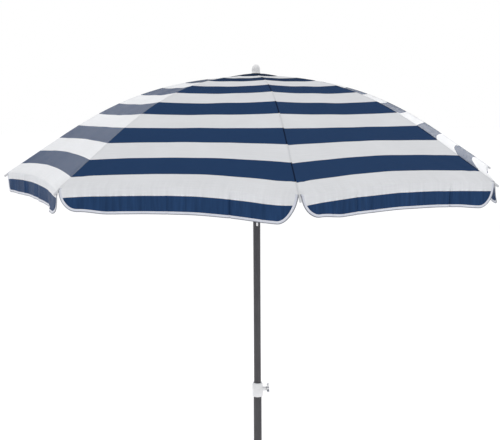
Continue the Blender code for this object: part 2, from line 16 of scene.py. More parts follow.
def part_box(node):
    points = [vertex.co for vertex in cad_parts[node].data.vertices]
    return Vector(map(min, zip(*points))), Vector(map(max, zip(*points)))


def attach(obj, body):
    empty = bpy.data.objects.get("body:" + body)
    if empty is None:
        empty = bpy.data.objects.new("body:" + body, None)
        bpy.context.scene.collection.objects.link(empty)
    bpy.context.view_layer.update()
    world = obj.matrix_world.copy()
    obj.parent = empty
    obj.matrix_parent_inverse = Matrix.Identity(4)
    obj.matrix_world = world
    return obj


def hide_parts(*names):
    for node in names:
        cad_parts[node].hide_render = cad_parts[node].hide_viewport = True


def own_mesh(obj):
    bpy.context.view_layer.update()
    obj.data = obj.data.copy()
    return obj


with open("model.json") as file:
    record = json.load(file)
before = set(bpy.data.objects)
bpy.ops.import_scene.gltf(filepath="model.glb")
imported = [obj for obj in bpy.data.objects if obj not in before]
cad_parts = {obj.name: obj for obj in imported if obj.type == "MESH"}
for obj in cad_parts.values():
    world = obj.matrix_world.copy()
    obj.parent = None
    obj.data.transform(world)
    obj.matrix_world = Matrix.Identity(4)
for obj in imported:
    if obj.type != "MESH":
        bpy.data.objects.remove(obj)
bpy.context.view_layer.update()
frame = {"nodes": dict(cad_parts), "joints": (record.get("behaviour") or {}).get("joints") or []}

# ---------------------------------------------------------------- from the frame
JOINTS = {joint["name"]: joint for joint in frame["joints"]}
RIB_HINGE = JOINTS["open_close"]["pos_m"]
STRETCHER_HINGE = JOINTS["stretcher_1_hinge"]["pos_m"]
RUNNER_HINGE = JOINTS["runner_hinge"]["pos_m"]
RIB_COUNT = sum(1 for node in frame["nodes"] if node.startswith("rib_tip_"))
PIVOT_RADIUS = -RIB_HINGE[1]
CROWN_HEIGHT = RIB_HINGE[2]
RUNNER_HEIGHT = RUNNER_HINGE[2]
HALF_PANEL = math.pi / RIB_COUNT

# ---------------------------------------------------------------- dimensions
OPEN_RADIUS = 0.920            # pole axis to the end of a rib
RIB_RADIUS = 0.0025
STRETCHER_RADIUS = 0.0026
ROD_SIDES = 16
TIP_REACH = 0.0190             # moulded cap beyond the cloth's corner

# Rib curve: its slope grows from the crown outwards, then stays the same
SLOPE_AT_CROWN = math.radians(4.0)
SLOPE_AT_TIP = math.radians(33.3)
BEND_SHARE = 0.82
TABLE_STEPS = 960

# Cloth
LIFT = 0.0037                  # middle of the cloth above the rib's axis
CROWN_LIFT = 0.0060            # and more than that over the crown
CROWN_FLAT = 0.008             # out to this distance from the hinge
CROWN_FADE = 0.080
BORE = 0.0160                  # hole that the pole passes
CLOTH_THICKNESS = 0.0006
HEM_RISE = 0.0145              # halfway between two tips the pull of the ribs lifts the hem
HEM_PULL = 0.0200              # and draws it in towards the pole
PULL_FROM = 0.55               # both start at this share of the rib's length
PANEL_SAG = 0.0050             # a panel's sag higher up
SAG_TO = 0.95                  # which ends at this share of it
VALANCE_DROP = 0.076
FOLD_RADIUS = 0.004            # where the cloth turns down at the hem
NOTCH_GAP = 0.003              # half width of the notch at a tip
NOTCH_REACH = 0.058            # distance from the tip at which the notch has run out
NOTCH_FADE = 0.090             # and beyond it, that over which a corner's extra length runs out
CORNER_REACH = 0.130           # distance from the tip at which a corner's curl has run out
CORNER_CUT = 0.0075            # the cloth's corner stops short of the rib's end
CORNER_CUT_WIDTH = 0.012
CORNER_CUT_FADE = 0.020
BINDING_WIDTH = 0.0078
BINDING_HALF = 0.0009          # half thickness of the folded tape
SEAM_WIDTH = 0.0036
SEAM_HEIGHT = 0.0006
CREASE_WIDTH = 0.0035
VALANCE_WAVE = 0.0026          # how far the loose waves swing the valance
VALANCE_FLARE = 0.0020         # the valance's edge stands this far out from its fold
NORMAL_STEP = 0.0006           # step over which the cloth's slope is measured

# Stripes, measured along the cloth from the tips upwards
FIRST_STRIPE = 0.0648 * OPEN_RADIUS
STRIPE = 0.0919 * OPEN_RADIUS

# Valance corners before and after each rib: extra length, how far the corner
# curls out (+) or in (-), the power of the notch's curve, squarer when small,
# and how far the hem beside it droops
CORNERS = [
    ((-0.001, 0.001, 0.68, 0.0055), (-0.010, 0.004, 0.64, -0.0010)),
    ((0.004, 0.001, 0.48, 0.0010), (0.001, 0.009, 0.60, 0.0000)),
    ((0.000, 0.004, 0.62, 0.0020), (0.003, -0.003, 0.60, 0.0010)),
    ((-0.003, 0.002, 0.60, 0.0000), (0.002, 0.005, 0.66, 0.0030)),
    ((0.003, -0.004, 0.64, -0.0010), (-0.002, 0.003, 0.58, 0.0020)),
    ((0.000, 0.005, 0.60, 0.0030), (0.002, -0.002, 0.66, 0.0000)),
    ((0.002, 0.002, 0.66, 0.0010), (-0.004, 0.003, 0.56, -0.0010)),
    ((0.000, 0.001, 0.27, 0.0010), (-0.009, 0.002, 0.50, 0.0000)),
]
DROOP_AT = 0.075               # where that droop is deepest, from the rib
DROOP_RISE = 0.100             # and how far up the canopy it reaches

# Loose waves of a hem: size, radians per metre, and the phase, which differs by panel
HEM_WAVES = ((0.9, 21.0, 2.0, 2.1, 0.4), (0.6, 47.0, 3.0, 3.7, 1.3), (0.35, 83.0, 3.0, 5.3, 2.2))

# Relief of the cloth over its stretched form
PUCKER_HEIGHT = 0.00135        # folds that radiate from the tips
PUCKER_START = 0.020
PUCKER_FADE = 0.095
SLOW_RELIEF = 0.00080          # broad unevenness
DIAGONAL_RELIEF = 0.00035      # tension lines across a panel
HEM_RELIEF = 0.00060           # the hem's waves, running out upwards
HEM_RELIEF_FADE = 0.050
CROWN_RELIEF = 0.00030         # gathers around the crown
RIDGE_RELIEF = 0.00040         # line that the rib presses into the cloth
RIDGE_WIDTH = 0.004

# Sharp creases of each panel's valance: place from -1 to 1 across, and depth
CREASES = [
    ((-0.70, 0.0020), (-0.45, -0.0050), (-0.28, 0.0022), (0.24, -0.0020), (0.54, -0.0065)),
    ((-0.50, 0.0020), (0.10, -0.0020), (0.62, 0.0015)),
    ((-0.60, -0.0018), (-0.12, 0.0022), (0.47, -0.0020)),
    ((-0.35, 0.0020), (0.28, -0.0024), (0.71, 0.0014)),
    ((-0.66, 0.0016), (-0.20, -0.0022), (0.40, 0.0020)),
    ((-0.48, -0.0020), (0.15, 0.0018), (0.58, -0.0022)),
    ((-0.40, 0.0020), (0.12, -0.0016), (0.744, -0.0010)),
    ((-0.52, 0.0015), (-0.07, -0.0030), (0.45, -0.0060), (0.72, 0.0030)),
]

# The corner just before rib 8 is folded over: its flap stands out from the
# valance and hangs a little lower
FLAP_PANEL = 6
FLAP_AT = 0.090                # distance of its crease from the rib
FLAP_STEP = 0.007              # width of the crease
FLAP_OUT = 0.010
FLAP_DROP = 0.001

# How far each panel's stripes were sewn in higher than the pattern, in metres
STRIPE_SHIFTS = [0.0035, 0.0, 0.0020, -0.0020, 0.0030, 0.0010, 0.0, 0.0]


# ---------------------------------------------------------------- curves of the cloth
def smooth(x):
    x = np.clip(x, 0.0, 1.0)
    return x * x * (3.0 - 2.0 * x)


def rib_table():
    """Distance along the rib, outward, up and slope, from behind the hinge to past the tip."""
    share = (np.arange(TABLE_STEPS) + 0.5) / TABLE_STEPS
    slope = SLOPE_AT_CROWN + (SLOPE_AT_TIP - SLOPE_AT_CROWN) * smooth(share / BEND_SHARE)
    out = np.concatenate([[0.0], np.cumsum(np.cos(slope))]) / TABLE_STEPS
    down = np.concatenate([[0.0], np.cumsum(np.sin(slope))]) / TABLE_STEPS
    length = (OPEN_RADIUS - PIVOT_RADIUS) / out[-1]
    distance = np.linspace(0.0, length, TABLE_STEPS + 1)
    slope = SLOPE_AT_CROWN + (SLOPE_AT_TIP - SLOPE_AT_CROWN) * smooth(distance / length / BEND_SHARE)
    out, up = out * length, -down * length
    reach = 0.05
    distance = np.concatenate([[-reach], distance, [length + reach]])
    out = np.concatenate([[-reach], out, [out[-1] + reach * math.cos(SLOPE_AT_TIP)]])
    up = np.concatenate([[0.0], up, [up[-1] - reach * math.sin(SLOPE_AT_TIP)]])
    slope = np.concatenate([[SLOPE_AT_CROWN], slope, [SLOPE_AT_TIP]])
    return length, distance, out, up, slope


RIB_LENGTH, TABLE_AT, TABLE_OUT, TABLE_UP, TABLE_SLOPE = rib_table()
HEM_HALF = (OPEN_RADIUS + math.sin(SLOPE_AT_TIP) * LIFT) * math.sin(HALF_PANEL)


def rib_line(distance):
    """Outward, up and slope of the rib's axis from the crown's hinge."""
    out = np.interp(distance, TABLE_AT, TABLE_OUT)
    up = np.interp(distance, TABLE_AT, TABLE_UP)
    return out, up, np.interp(distance, TABLE_AT, TABLE_SLOPE)


def direction(angle):
    """Unit vector outwards at an angle from rib 1."""
    return np.array([math.sin(angle), -math.cos(angle), 0.0])


def corner_facts(panel, share):
    """Extra length, curl, notch power and droop near the rib before or after a panel."""
    before, after = CORNERS[panel][1], CORNERS[(panel + 1) % RIB_COUNT][0]
    return [np.where(share < 0.0, left, right) for left, right in zip(before, after)]


def from_rib(share):
    """Distance along the hem from the nearest rib; share runs from -1 to 1 across a panel."""
    return (1.0 - np.abs(share)) * HEM_HALF


def over_flap(panel, share):
    """1 between the rib and the flap's crease, and 0 on the rest of the valance."""
    here = (panel == FLAP_PANEL) * (share > 0.0)
    return here * (1.0 - smooth((from_rib(share) - FLAP_AT) / FLAP_STEP))


def valance_length(panel, share):
    """Length of the valance, which runs out in a notch at each rib."""
    x = from_rib(share)
    extra, _, power, _ = corner_facts(panel, share)
    near = 1.0 - smooth((x - NOTCH_REACH) / NOTCH_FADE)
    u = np.clip((x - NOTCH_GAP) / NOTCH_REACH, 0.0, 1.0)
    flap = FLAP_DROP * over_flap(panel, share)
    return (VALANCE_DROP + extra * near + flap) * (1.0 - (1.0 - u) ** 2) ** power


def corner_cut(share, down):
    """Distance along the cloth, with the corner at the rib drawn back from the tip."""
    beside = 1.0 - smooth(from_rib(share) / CORNER_CUT_WIDTH)
    return down - CORNER_CUT * beside * np.exp(-np.abs(down) / CORNER_CUT_FADE)


def valance_profile(length):
    """Outward and up along the valance, which starts with a round fold at the hem."""
    turn = np.clip(length / FOLD_RADIUS, 0.0, math.pi / 2.0 - SLOPE_AT_TIP)
    slope = SLOPE_AT_TIP + turn
    arc = FOLD_RADIUS * turn
    out = FOLD_RADIUS * (np.sin(slope) - math.sin(SLOPE_AT_TIP))
    up = -FOLD_RADIUS * (math.cos(SLOPE_AT_TIP) - np.cos(slope)) - (length - arc)
    return out, up


def hem_waves(panel, share):
    """Loose waves along a hem, which read as soft folds of the valance."""
    wave = 0.0
    for size, turns, spread, per_panel, start in HEM_WAVES:
        phase = spread * math.sin(per_panel * panel + start)
        wave = wave + size * np.sin(share * HEM_HALF * turns + phase)
    return wave * smooth((1.0 - np.abs(share)) / 0.12)


def creases(panel, share):
    """Sharp upright creases that the valance keeps from being folded."""
    total = np.zeros(np.shape(share))
    for place_across, depth in CREASES[panel]:
        away = np.abs(share - place_across) * HEM_HALF / CREASE_WIDTH
        total = total + depth * np.exp(-away)
    return total


def puckers(panel, share, down):
    """Folds that radiate from the two tips of a panel."""
    x = from_rib(share)
    up = np.maximum(-down, 0.0)
    reach = np.hypot(x, up) + 1e-6
    angle = np.arctan2(x, up)
    side = np.where(share < 0.0, 1.0, -1.0)
    phase = 1.7 * panel + side * 0.9
    folds = np.sin(9.0 * angle + phase) + 0.6 * np.sin(15.0 * angle - 1.3 * phase)
    fade = smooth(reach / PUCKER_START) * np.exp(-reach / PUCKER_FADE)
    return PUCKER_HEIGHT * folds * fade * np.sin(np.clip(angle, 0.0, math.pi / 2.0)) ** 0.5


def panel_relief(panel, share, down):
    """Height of the cloth over its stretched form, along the panel's normal."""
    along = RIB_LENGTH + np.minimum(down, 0.0)
    part = along / RIB_LENGTH
    window = (1.0 - share * share) * smooth(part / 0.35)
    phase = math.sin(4.4 * panel + 0.8)
    slow = np.sin(5.0 * share + 4.0 * phase + 6.0 * part) * np.sin(7.5 * part + 2.0 * phase)
    diagonal = np.sin(11.0 * part + 9.0 * share * (0.6 + part) + 5.0 * phase)
    hem = hem_waves(panel, share) * np.exp(np.minimum(down, 0.0) / HEM_RELIEF_FADE)
    crown = np.sin(9.0 * math.pi * share) * np.exp(-np.maximum(along, 0.0) / 0.05) * smooth(along / 0.02)
    ridge = np.exp(-(from_rib(share) * np.clip(part, 0.05, 1.0) / RIDGE_WIDTH) ** 2)
    relief = (SLOW_RELIEF * slow + DIAGONAL_RELIEF * diagonal) * window
    relief = relief + HEM_RELIEF * hem + CROWN_RELIEF * crown + RIDGE_RELIEF * ridge
    return relief + puckers(panel, share, down)


def cloth(panel, share, down):
    """Points of the cloth.

    panel counts from 0, between rib 1 and rib 2.  share runs from -1 on its
    first rib to 1 on the next.  down is measured along the cloth from the hem:
    below 0 on the canopy and above it on the valance.
    """
    share, down = np.broadcast_arrays(np.asarray(share, float), np.asarray(down, float))
    out, up, slope = rib_line(RIB_LENGTH + np.minimum(down, 0.0))
    lift = LIFT + CROWN_LIFT * (1.0 - smooth((out - CROWN_FLAT) / CROWN_FADE))
    radius = PIVOT_RADIUS + out + np.sin(slope) * lift
    height = CROWN_HEIGHT + up + np.cos(slope) * lift
    part = 1.0 + np.minimum(down, 0.0) / RIB_LENGTH
    middle_share = 1.0 - share * share
    pull = smooth((part - PULL_FROM) / (1.0 - PULL_FROM)) * middle_share
    sag = PANEL_SAG * np.sin(math.pi * np.clip(part / SAG_TO, 0.0, 1.0)) * middle_share
    radius = radius - HEM_PULL * pull
    height = height + HEM_RISE * pull - sag
    first, last = direction(2.0 * HALF_PANEL * panel), direction(2.0 * HALF_PANEL * (panel + 1))
    middle = direction(2.0 * HALF_PANEL * panel + HALF_PANEL)
    to_last = (share[..., None] + 1.0) / 2.0
    points = radius[..., None] * ((1.0 - to_last) * first + to_last * last)
    points[..., 2] = height
    relief = panel_relief(panel, share, down)
    points += (relief * np.sin(slope))[..., None] * middle
    points[..., 2] += relief * np.cos(slope)

    hang = np.maximum(down, 0.0)
    out, up = valance_profile(hang)
    _, curl, _, droop = corner_facts(panel, share)
    loose = hang / VALANCE_DROP
    near = 1.0 - smooth(from_rib(share) / CORNER_REACH)
    swing = VALANCE_WAVE * hem_waves(panel, share) * (0.25 + 0.75 * loose) * smooth(loose / 0.15)
    swing = swing + creases(panel, share) * smooth(loose / 0.25) * (0.6 + 0.4 * loose)
    flap = FLAP_OUT * over_flap(panel, share) * from_rib(share) / FLAP_AT
    swing = swing + (curl * near + flap) * loose ** 1.5 + VALANCE_FLARE * loose
    points += (out + swing)[..., None] * middle
    beside = from_rib(share) / DROOP_AT
    droop = droop * beside ** 2 * np.exp(2.0 - 2.0 * beside) * smooth((down + DROOP_RISE) / DROOP_RISE)
    points[..., 2] += up - droop
    return points


def cloth_normal(panel, share, down):
    """Outward normals of the cloth, measured on the surface itself."""
    step = NORMAL_STEP / HEM_HALF
    across = cloth(panel, share + step, down) - cloth(panel, share - step, down)
    along = cloth(panel, share, down + NORMAL_STEP) - cloth(panel, share, down - NORMAL_STEP)
    normal = np.cross(along, across)
    return normal / np.linalg.norm(normal, axis=-1, keepdims=True)


# ---------------------------------------------------------------- mesh helpers
def link(obj):
    bpy.context.collection.objects.link(obj)
    return obj


def grid_object(name, points, uv, materials, closed=False, caps=False):
    """An object from rows of points; closed joins the last column to the first."""
    rows, columns = points.shape[:2]
    wide = columns if closed else columns - 1
    low = np.arange(rows - 1)[:, None] * columns
    i = np.arange(wide)[None, :]
    j = (i + 1) % columns
    quads = np.stack([low + i, low + columns + i, low + columns + j, low + j], -1).reshape(-1, 4)
    faces = [tuple(int(v) for v in quad) for quad in quads]
    if caps:
        faces.append(tuple(range(columns)))
        faces.append(tuple(range((rows - 1) * columns, rows * columns))[::-1])
    mesh = bpy.data.meshes.new(name)
    mesh.from_pydata(points.reshape(-1, 3).tolist(), [], faces)
    layer = mesh.uv_layers.new(name="UVMap")
    flat = uv.reshape(-1, 2)
    index = np.empty(len(mesh.loops), int)
    mesh.loops.foreach_get("vertex_index", index)
    layer.data.foreach_set("uv", flat[index].astype(np.float32).ravel())
    for mat in materials:
        mesh.materials.append(mat)
    return link(bpy.data.objects.new(name, mesh))


def tidy_mesh(obj, merge=1e-6, sharp=None):
    """Merge doubled points, turn the faces outwards and shade the mesh smooth."""
    bm = bmesh.new()
    bm.from_mesh(obj.data)
    bmesh.ops.remove_doubles(bm, verts=bm.verts, dist=merge)
    bmesh.ops.dissolve_degenerate(bm, edges=bm.edges, dist=merge)
    bmesh.ops.recalc_face_normals(bm, faces=bm.faces)
    bm.to_mesh(obj.data)
    bm.free()
    obj.data.shade_smooth()
    if sharp is not None:
        obj.data.set_sharp_from_angle(angle=math.radians(sharp))
    return obj


def apply_modifiers(obj):
    graph = bpy.context.evaluated_depsgraph_get()
    mesh = bpy.data.meshes.new_from_object(obj.evaluated_get(graph), depsgraph=graph)
    old = obj.data
    obj.modifiers.clear()
    obj.data = mesh
    bpy.data.meshes.remove(old)


def join(name, objects):
    """One object in place of several, with the first one's materials."""
    materials = list(objects[0].data.materials)
    bm = bmesh.new()
    for obj in objects:
        part = obj.data.copy()
        part.transform(obj.matrix_world)
        bm.from_mesh(part)
        bpy.data.meshes.remove(part)
    mesh = bpy.data.meshes.new(name)
    bm.to_mesh(mesh)
    bm.free()
    for mat in materials:
        mesh.materials.append(mat)
    for obj in objects:
        bpy.data.objects.remove(obj, do_unlink=True)
    return link(bpy.data.objects.new(name, mesh))


def turned(name, profile, mat, segments, matrix=None, shape=None, sharp=32.0):
    """Turn (radius, height) about Z; shape(angle, height) scales the radius."""
    angles = 2.0 * math.pi * np.arange(segments) / segments
    points = np.zeros((len(profile), segments, 3))
    uv = np.zeros((len(profile), segments, 2))
    run = 0.0
    for row, (radius, height) in enumerate(profile):
        if row:
            run += math.dist(profile[row - 1], profile[row])
        scale = 1.0 if shape is None else shape(angles, height)
        points[row, :, 0] = radius * scale * np.sin(angles)
        points[row, :, 1] = -radius * scale * np.cos(angles)
        points[row, :, 2] = height
        uv[row, :, 0] = angles * max(radius, 0.001)
        uv[row, :, 1] = run
    obj = grid_object(name, points, uv, [mat], closed=True)
    if matrix is not None:
        obj.data.transform(matrix)
    return tidy_mesh(obj, sharp=sharp)


def rod(name, sections, mat):
    """A rod through sections of (point, tangent, up, half width, half height)."""
    angles = 2.0 * math.pi * np.arange(ROD_SIDES) / ROD_SIDES
    points = np.zeros((len(sections), ROD_SIDES, 3))
    uv = np.zeros((len(sections), ROD_SIDES, 2))
    run = 0.0
    for row, (point, tangent, up, half_width, half_height) in enumerate(sections):
        if row:
            run += (Vector(point) - Vector(sections[row - 1][0])).length
        side = Vector(tangent).cross(Vector(up)).normalized()
        ring = np.outer(np.cos(angles) * half_width, side)
        points[row] = np.array(point) + ring + np.outer(np.sin(angles) * half_height, up)
        uv[row, :, 0] = angles * half_width
        uv[row, :, 1] = run
    obj = grid_object(name, points, uv, [mat], closed=True, caps=True)
    return tidy_mesh(obj, sharp=40.0)


def around(k):
    """Turns what is modelled at rib 1 to rib k."""
    return Matrix.Rotation(2.0 * HALF_PANEL * (k - 1), 4, "Z")


def panel_beside(k, after):
    """The panel after rib k, or the one before it."""
    return (k - 1) % RIB_COUNT if after else (k - 2) % RIB_COUNT


def finish_piece(obj, body, nodes=()):
    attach(obj, body)
    if nodes:
        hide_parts(*nodes)


# ---------------------------------------------------------------- material helpers
class Nodes:
    """A short way to write a node tree."""

    def __init__(self, name):
        self.mat = bpy.data.materials.new(name)
        self.mat.use_nodes = True
        self.tree = self.mat.node_tree
        self.shader = self.tree.nodes["Principled BSDF"]
        self.output = self.tree.nodes["Material Output"]

    def add(self, kind, **settings):
        node = self.tree.nodes.new(kind)
        for key, value in settings.items():
            setattr(node, key, value)
        return node

    def put(self, socket, value):
        if isinstance(value, bpy.types.NodeSocket):
            self.tree.links.new(value, socket)
        elif isinstance(value, tuple) and len(value) == 3 and socket.type == "RGBA":
            socket.default_value = (*value, 1.0)
        else:
            socket.default_value = value

    def math(self, operation, a, b=0.0, c=0.0):
        node = self.add("ShaderNodeMath", operation=operation)
        for socket, value in zip(node.inputs, (a, b, c)):
            self.put(socket, value)
        return node.outputs[0]

    def mix(self, factor, a, b, blend="MIX"):
        node = self.add("ShaderNodeMix", data_type="RGBA", blend_type=blend)
        self.put(node.inputs[0], factor)
        self.put(node.inputs[6], a)
        self.put(node.inputs[7], b)
        return node.outputs[2]

    def noise(self, vector, scale, detail=2.0, rough=0.5):
        node = self.add("ShaderNodeTexNoise")
        self.put(node.inputs["Vector"], vector)
        node.inputs["Scale"].default_value = scale
        node.inputs["Detail"].default_value = detail
        node.inputs["Roughness"].default_value = rough
        return node.outputs["Fac"]

    def span(self, value, low, high, to_low=0.0, to_high=1.0):
        node = self.add("ShaderNodeMapRange")
        for socket, entry in zip(node.inputs, (value, low, high, to_low, to_high)):
            self.put(socket, entry)
        return node.outputs[0]

    def coordinates(self):
        """Object coordinates, and the two lengths of the UV map in metres."""
        coord = self.add("ShaderNodeTexCoord")
        split = self.add("ShaderNodeSeparateXYZ")
        self.put(split.inputs[0], coord.outputs["UV"])
        return coord.outputs["Object"], coord.outputs["UV"], split.outputs[0], split.outputs[1]

    def stretched(self, vector, scale):
        node = self.add("ShaderNodeMapping")
        self.put(node.inputs["Vector"], vector)
        node.inputs["Scale"].default_value = scale
        return node.outputs[0]

    def bump(self, height, distance, strength, normal=None):
        node = self.add("ShaderNodeBump")
        node.inputs["Strength"].default_value = strength
        node.inputs["Distance"].default_value = distance
        self.put(node.inputs["Height"], height)
        if normal is not None:
            self.put(node.inputs["Normal"], normal)
        return node.outputs[0]

    def finish(self, **values):
        for key, value in values.items():
            self.put(self.shader.inputs[key.replace("_", " ")], value)


WEAVE = 0.0011                 # pitch of two crossing yarns
NAVY = (0.0210, 0.0560, 0.1430)
# darker navy painted towards the crown as shade, where the cloth looks darker from how the light falls
NAVY_PAINTED_SHADE_AT_CROWN = (0.0100, 0.0260, 0.0620)
WHITE = (0.800, 0.810, 0.830)
THREAD = (0.80, 0.80, 0.82)
DARK_THREAD = (0.008, 0.018, 0.050)
STITCH_PITCH = 0.0032
STITCH_LENGTH = 0.0022
STITCH_WIDTH = 0.0007
BINDING_STITCHES = 0.0062      # distance of the stitches from the binding's outer edge


def weave_height(n, u, v):
    """Plain weave: yarns that pass over and under each other."""
    across = n.math("SINE", n.math("MULTIPLY", u, 2.0 * math.pi / WEAVE))
    along = n.math("SINE", n.math("MULTIPLY", v, 2.0 * math.pi / WEAVE))
    return n.math("MULTIPLY", across, along)


def stitches(n, u, v, line):
    """1 on a row of stitches that runs along u at v = line."""
    beside = n.math("COMPARE", v, line, STITCH_WIDTH / 2.0)
    turn = n.math("FRACT", n.math("DIVIDE", u, STITCH_PITCH))
    place_in_pitch = n.math("MULTIPLY", turn, STITCH_PITCH)
    return n.math("MULTIPLY", beside, n.math("LESS_THAN", place_in_pitch, STITCH_LENGTH))


def striped(n, uv, v):
    """Navy and white by the distance along the cloth, with painted shade that darkens the navy towards the
    crown and painted light and shade of gathers above the hem, and a mask that is 1 on navy.
    """
    frayed = n.noise(n.stretched(uv, (900.0, 300.0, 1.0)), 1.0, 1.0)
    edge = n.math("ADD", v, n.math("MULTIPLY", n.math("SUBTRACT", frayed, 0.5), 0.0008))
    turn = n.math("FRACT", n.math("DIVIDE", n.math("SUBTRACT", edge, FIRST_STRIPE), 2.0 * STRIPE))
    navy = n.math("LESS_THAN", turn, 0.5)
    slubs = n.noise(n.stretched(uv, (14.0, 700.0, 1.0)), 1.0, 3.0, 0.7)
    fading = n.noise(uv, 7.0, 3.0, 0.55)
    tone = n.math("ADD", n.span(slubs, 0.3, 0.7, -0.04, 0.04), n.span(fading, 0.3, 0.7, -0.02, 0.02))
    # Painted light and shade of gathers: upright streaks, lighter and darker, full on the valance and faint
    # just above the hem.
    gathers = n.noise(n.stretched(uv, (75.0, 5.0, 1.0)), 1.0, 3.0, 0.7)
    gathers = n.span(gathers, 0.32, 0.68, -0.15, 0.22)
    painted_gather_mask = n.span(v, -0.026, -0.018, 1.0, 0.16)
    painted_gather_mask = n.math("MULTIPLY", painted_gather_mask, n.span(v, 0.012, 0.045, 1.0, 0.0))
    tone = n.math("ADD", tone, n.math("MULTIPLY", gathers, painted_gather_mask))
    light = n.math("ADD", 1.0, tone)
    # painted shade: the navy darkens towards the crown
    navy_painted_darker_to_crown = n.mix(n.span(v, 0.62 * RIB_LENGTH, 0.93 * RIB_LENGTH), NAVY, NAVY_PAINTED_SHADE_AT_CROWN)
    colour = n.mix(navy, WHITE, navy_painted_darker_to_crown)
    grey = n.add("ShaderNodeCombineColor")
    for socket in grey.inputs[:3]:
        n.put(socket, light)
    return n.mix(1.0, colour, grey.outputs[0], "MULTIPLY"), navy


def cloth_material(name, seam=False):
    """Striped polyester canvas: plain weave, slubs, a soft sheen and light that comes through."""
    n = Nodes(name)
    _, uv, u, v = n.coordinates()
    colour, navy = striped(n, uv, v)
    if seam:
        # Painted shade of the seam: the seam strip is darkened, strongly on navy and to a faint grey on
        # white.
        dark = n.mix(navy, (0.92, 0.92, 0.93), (0.22, 0.24, 0.30))
        colour = n.mix(1.0, colour, dark, "MULTIPLY")
        thread = n.mix(navy, THREAD, DARK_THREAD)
        colour = n.mix(stitches(n, v, u, SEAM_WIDTH / 2.0), colour, thread)
    height = weave_height(n, u, v)
    slub = n.noise(n.stretched(uv, (30.0, 900.0, 1.0)), 1.0, 2.0)
    normal = n.bump(height, 0.00012, 0.5)
    normal = n.bump(slub, 0.00025, 0.5, normal)
    pulled = n.noise(n.stretched(uv, (120.0, 14.0, 1.0)), 1.0, 2.0)
    pulled = n.math("MULTIPLY", pulled, n.span(v, 0.0, 0.035, 1.0, 0.0))
    normal = n.bump(pulled, 0.0030, 0.6, normal)
    rough = n.span(n.noise(uv, 40.0, 2.0), 0.3, 0.7, 0.55, 0.65)
    n.finish(Base_Color=colour, Roughness=rough, Normal=normal)
    shader = n.shader.inputs
    shader["IOR"].default_value = 1.15
    shader["Anisotropic"].default_value = 1.0
    shader["Anisotropic Rotation"].default_value = 0.25
    tangent = n.add("ShaderNodeTangent", direction_type="UV_MAP", uv_map="UVMap")
    n.put(shader["Tangent"], tangent.outputs[0])
    glow = n.add("ShaderNodeBsdfTranslucent")
    n.put(glow.inputs["Color"], colour)
    mixed = n.add("ShaderNodeMixShader")
    mixed.inputs[0].default_value = 0.22
    n.put(mixed.inputs[1], n.shader.outputs[0])
    n.put(mixed.inputs[2], glow.outputs[0])
    n.put(n.output.inputs["Surface"], mixed.outputs[0])
    return n.mat


def binding_material():
    """Woven tape, folded over the edge, with one row of stitches and a grey outer edge that is painted shade
    where the tape turns under.
    """
    n = Nodes("binding_tape")
    _, uv, u, v = n.coordinates()
    twill = n.math("SINE", n.math("MULTIPLY", n.math("ADD", u, v), 2.0 * math.pi / 0.0009))
    soiled = n.noise(uv, 35.0, 3.0)
    pale = n.mix(n.span(soiled, 0.35, 0.65), (0.60, 0.62, 0.70), (0.67, 0.69, 0.76))
    # Painted shade: a dark grey band along the tape's outer edge, where it turns under.
    edge = n.span(v, 0.0008, 0.0024, 1.0, 0.0)
    colour = n.mix(edge, pale, (0.16, 0.17, 0.20))
    colour = n.mix(stitches(n, u, v, BINDING_STITCHES), colour, THREAD)
    normal = n.bump(twill, 0.00012, 0.6)
    n.finish(Base_Color=colour, Roughness=0.7, Normal=normal)
    n.shader.inputs["Specular IOR Level"].default_value = 0.3
    n.shader.inputs["Sheen Weight"].default_value = 0.2
    return n.mat


def tape_material():
    """Plain white tape of the ties and pockets under the canopy."""
    n = Nodes("white_tape")
    position, _, _, v = n.coordinates()
    ribbing = n.math("SINE", n.math("MULTIPLY", v, 2.0 * math.pi / 0.0008))
    tone = n.span(n.noise(position, 60.0, 3.0), 0.3, 0.7)
    colour = n.mix(tone, (0.62, 0.62, 0.63), (0.74, 0.74, 0.75))
    n.finish(Base_Color=colour, Roughness=0.8, Normal=n.bump(ribbing, 0.0001, 0.7))
    n.shader.inputs["Sheen Weight"].default_value = 0.2
    return n.mat


def paint_material():
    """Dark grey powder coat: fine grain, faint rubbed streaks and a few worn specks."""
    n = Nodes("pole_paint")
    position, _, _, _ = n.coordinates()
    streak = n.noise(n.stretched(position, (260.0, 260.0, 3.0)), 1.0, 3.0, 0.6)
    cloud = n.noise(position, 9.0, 3.0)
    grain = n.noise(position, 2600.0, 2.0)
    colour = n.mix(n.span(cloud, 0.3, 0.7), (0.068, 0.066, 0.072), (0.086, 0.084, 0.090))
    colour = n.mix(n.span(streak, 0.62, 0.75, 0.0, 0.35), colour, (0.20, 0.20, 0.21))
    worn = n.span(n.noise(position, 420.0, 4.0, 0.7), 0.74, 0.78)
    colour = n.mix(worn, colour, (0.34, 0.34, 0.35))
    rough = n.math("ADD", n.span(streak, 0.3, 0.7, 0.34, 0.46), n.math("MULTIPLY", cloud, 0.06))
    n.finish(Base_Color=colour, Roughness=rough, Normal=n.bump(grain, 0.00005, 0.5))
    n.shader.inputs["IOR"].default_value = 1.28
    return n.mat


def steel_material(name, light, dark, rough, grain_scale):
    """Plated steel: fine drawn grain and dull spots."""
    n = Nodes(name)
    position, _, _, _ = n.coordinates()
    grain = n.noise(n.stretched(position, grain_scale), 1.0, 3.0, 0.65)
    spots = n.noise(position, 130.0, 4.0, 0.6)
    colour = n.mix(n.span(spots, 0.45, 0.70), light, dark)
    level = n.span(grain, 0.3, 0.7, rough - 0.06, rough + 0.08)
    level = n.math("ADD", level, n.span(spots, 0.5, 0.7, 0.0, 0.15))
    n.finish(Base_Color=colour, Roughness=level, Normal=n.bump(grain, 0.00004, 0.5))
    n.shader.inputs["Metallic"].default_value = 1.0
    return n.mat


